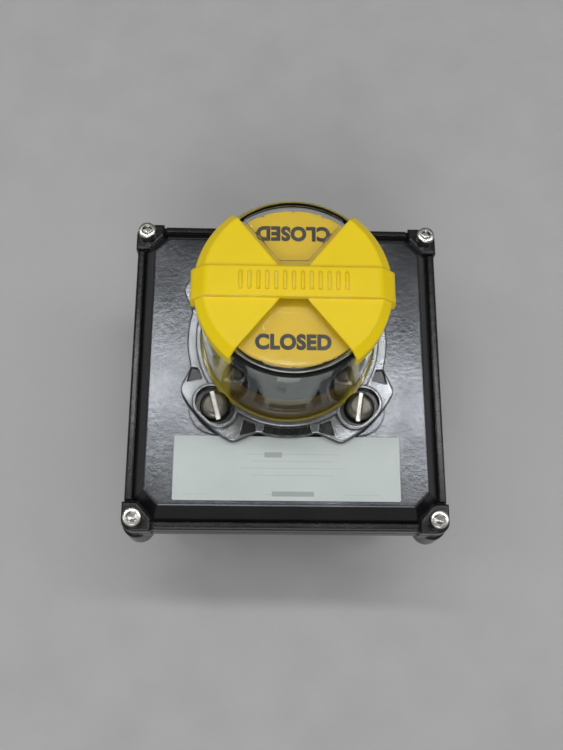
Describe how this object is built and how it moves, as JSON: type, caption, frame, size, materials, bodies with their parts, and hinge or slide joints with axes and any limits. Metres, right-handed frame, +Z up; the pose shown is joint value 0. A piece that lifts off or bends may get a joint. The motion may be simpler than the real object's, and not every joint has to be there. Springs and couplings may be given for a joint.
{
  "type": "valve limit switch box",
  "caption": "Square cast limit switch box with a bolted cover, a turning shaft with cams and switches, and a domed yellow rotary position beacon.",
  "frame": {"origin": "shaft axis, in the plane of the four feet", "axes": "+Z up along the shaft from the feet to the beacon; -Y is the nameplate side; +Y is the side with the conduit entries"},
  "size_m": [0.1218, 0.1244, 0.135],
  "materials": {
    "black_coat": "gloss",
    "stainless": "satin",
    "dark_steel": "satin",
    "chrome": "polished",
    "cap_yellow": "gloss",
    "mask_yellow": "gloss",
    "disc_yellow": "satin",
    "drum_grey": "matte",
    "clear_plastic": "gloss",
    "label_grey": "satin",
    "rubber": "matte",
    "bronze": "satin",
    "brass": "satin",
    "zinc_sheet": "satin",
    "black_plastic": "matte",
    "white_plastic": "satin",
    "red_plastic": "satin",
    "green_plastic": "satin",
    "green_screw": "satin"
  },
  "bodies": {
    "case": {"housing": "black_coat", "cover": "black_coat", "cover_gasket": "rubber", "cover_screws": "stainless", "nameplate": "label_grey", "dome_gasket": "rubber", "flange_screws": "dark_steel", "lower_bush": "bronze", "spindle_bush": "bronze", "switch_bracket": "zinc_sheet", "bracket_screws": "stainless", "closed_switch": "black_plastic", "open_switch": "black_plastic", "switch_screws": "stainless", "switch_terminals": "brass", "lever_pins": "stainless", "terminal_strip": "black_plastic", "terminal_clamps": "brass", "terminal_screws": "stainless", "strip_screws": "stainless", "ground_screw": "green_screw"},
    "shaft_assembly": {"shaft": "stainless", "shaft_clip": "stainless", "shaft_oring": "rubber", "cam_hub": "white_plastic", "closed_cam": "red_plastic", "open_cam": "green_plastic", "cam_spring": "stainless", "cam_retainer": "zinc_sheet", "drive_pin": "stainless", "indicator_spindle": "stainless", "indicator_disc": "disc_yellow", "indicator_drum": "drum_grey", "indicator_screw": "stainless"},
    "beacon": {"retaining_flange": "chrome", "dome": "clear_plastic", "window_mask": "mask_yellow", "beacon_cap": "cap_yellow"},
    "closed_lever": {"closed_lever": "zinc_sheet"},
    "open_lever": {"open_lever": "zinc_sheet"},
    "closed_roller": {"closed_roller": "white_plastic"},
    "open_roller": {"open_roller": "white_plastic"},
    "closed_plunger": {"closed_plunger": "red_plastic"},
    "open_plunger": {"open_plunger": "red_plastic"}
  },
  "joints": [
    {"name": "shaft_turn", "type": "hinge", "parent": "case", "child": "shaft_assembly", "pos_m": [0, 0, 0], "axis": [0, 0, 1], "range_deg": [0, 90]},
    {"name": "beacon_trim", "type": "hinge", "parent": "case", "child": "beacon", "pos_m": [0, 0, 0], "axis": [0, 0, 1], "range_deg": [-3, 3]},
    {"name": "closed_lever_swing", "type": "hinge", "parent": "case", "child": "closed_lever", "pos_m": [0.022, -0.0135, 0.032], "axis": [0, 0, 1], "range_deg": [0, 7.5]},
    {"name": "open_lever_swing", "type": "hinge", "parent": "case", "child": "open_lever", "pos_m": [0.022, -0.0135, 0.048], "axis": [0, 0, 1], "range_deg": [-7.5, 0]},
    {"name": "closed_roller_spin", "type": "hinge", "parent": "closed_lever", "child": "closed_roller", "pos_m": [0.0189, 0.00204, 0.032], "axis": [0, 0, 1], "continuous": true},
    {"name": "open_roller_spin", "type": "hinge", "parent": "open_lever", "child": "open_roller", "pos_m": [0.0169, 0.0015, 0.048], "axis": [0, 0, 1], "continuous": true},
    {"name": "closed_plunger_push", "type": "slide", "parent": "case", "child": "closed_plunger", "axis": [1, 0, 0], "range_m": [-0.00073, 0]},
    {"name": "open_plunger_push", "type": "slide", "parent": "case", "child": "open_plunger", "axis": [1, 0, 0], "range_m": [0, 0.00073]}
  ],
  "couplings": [
    {"joint": "closed_lever_swing", "follows": "shaft_turn", "ratio": 0.083333},
    {"joint": "open_lever_swing", "follows": "shaft_turn", "ratio": -0.083333},
    {"joint": "closed_plunger_push", "follows": "shaft_turn", "m_per_rad": -0.00045851},
    {"joint": "open_plunger_push", "follows": "shaft_turn", "m_per_rad": 0.00045851}
  ]
}
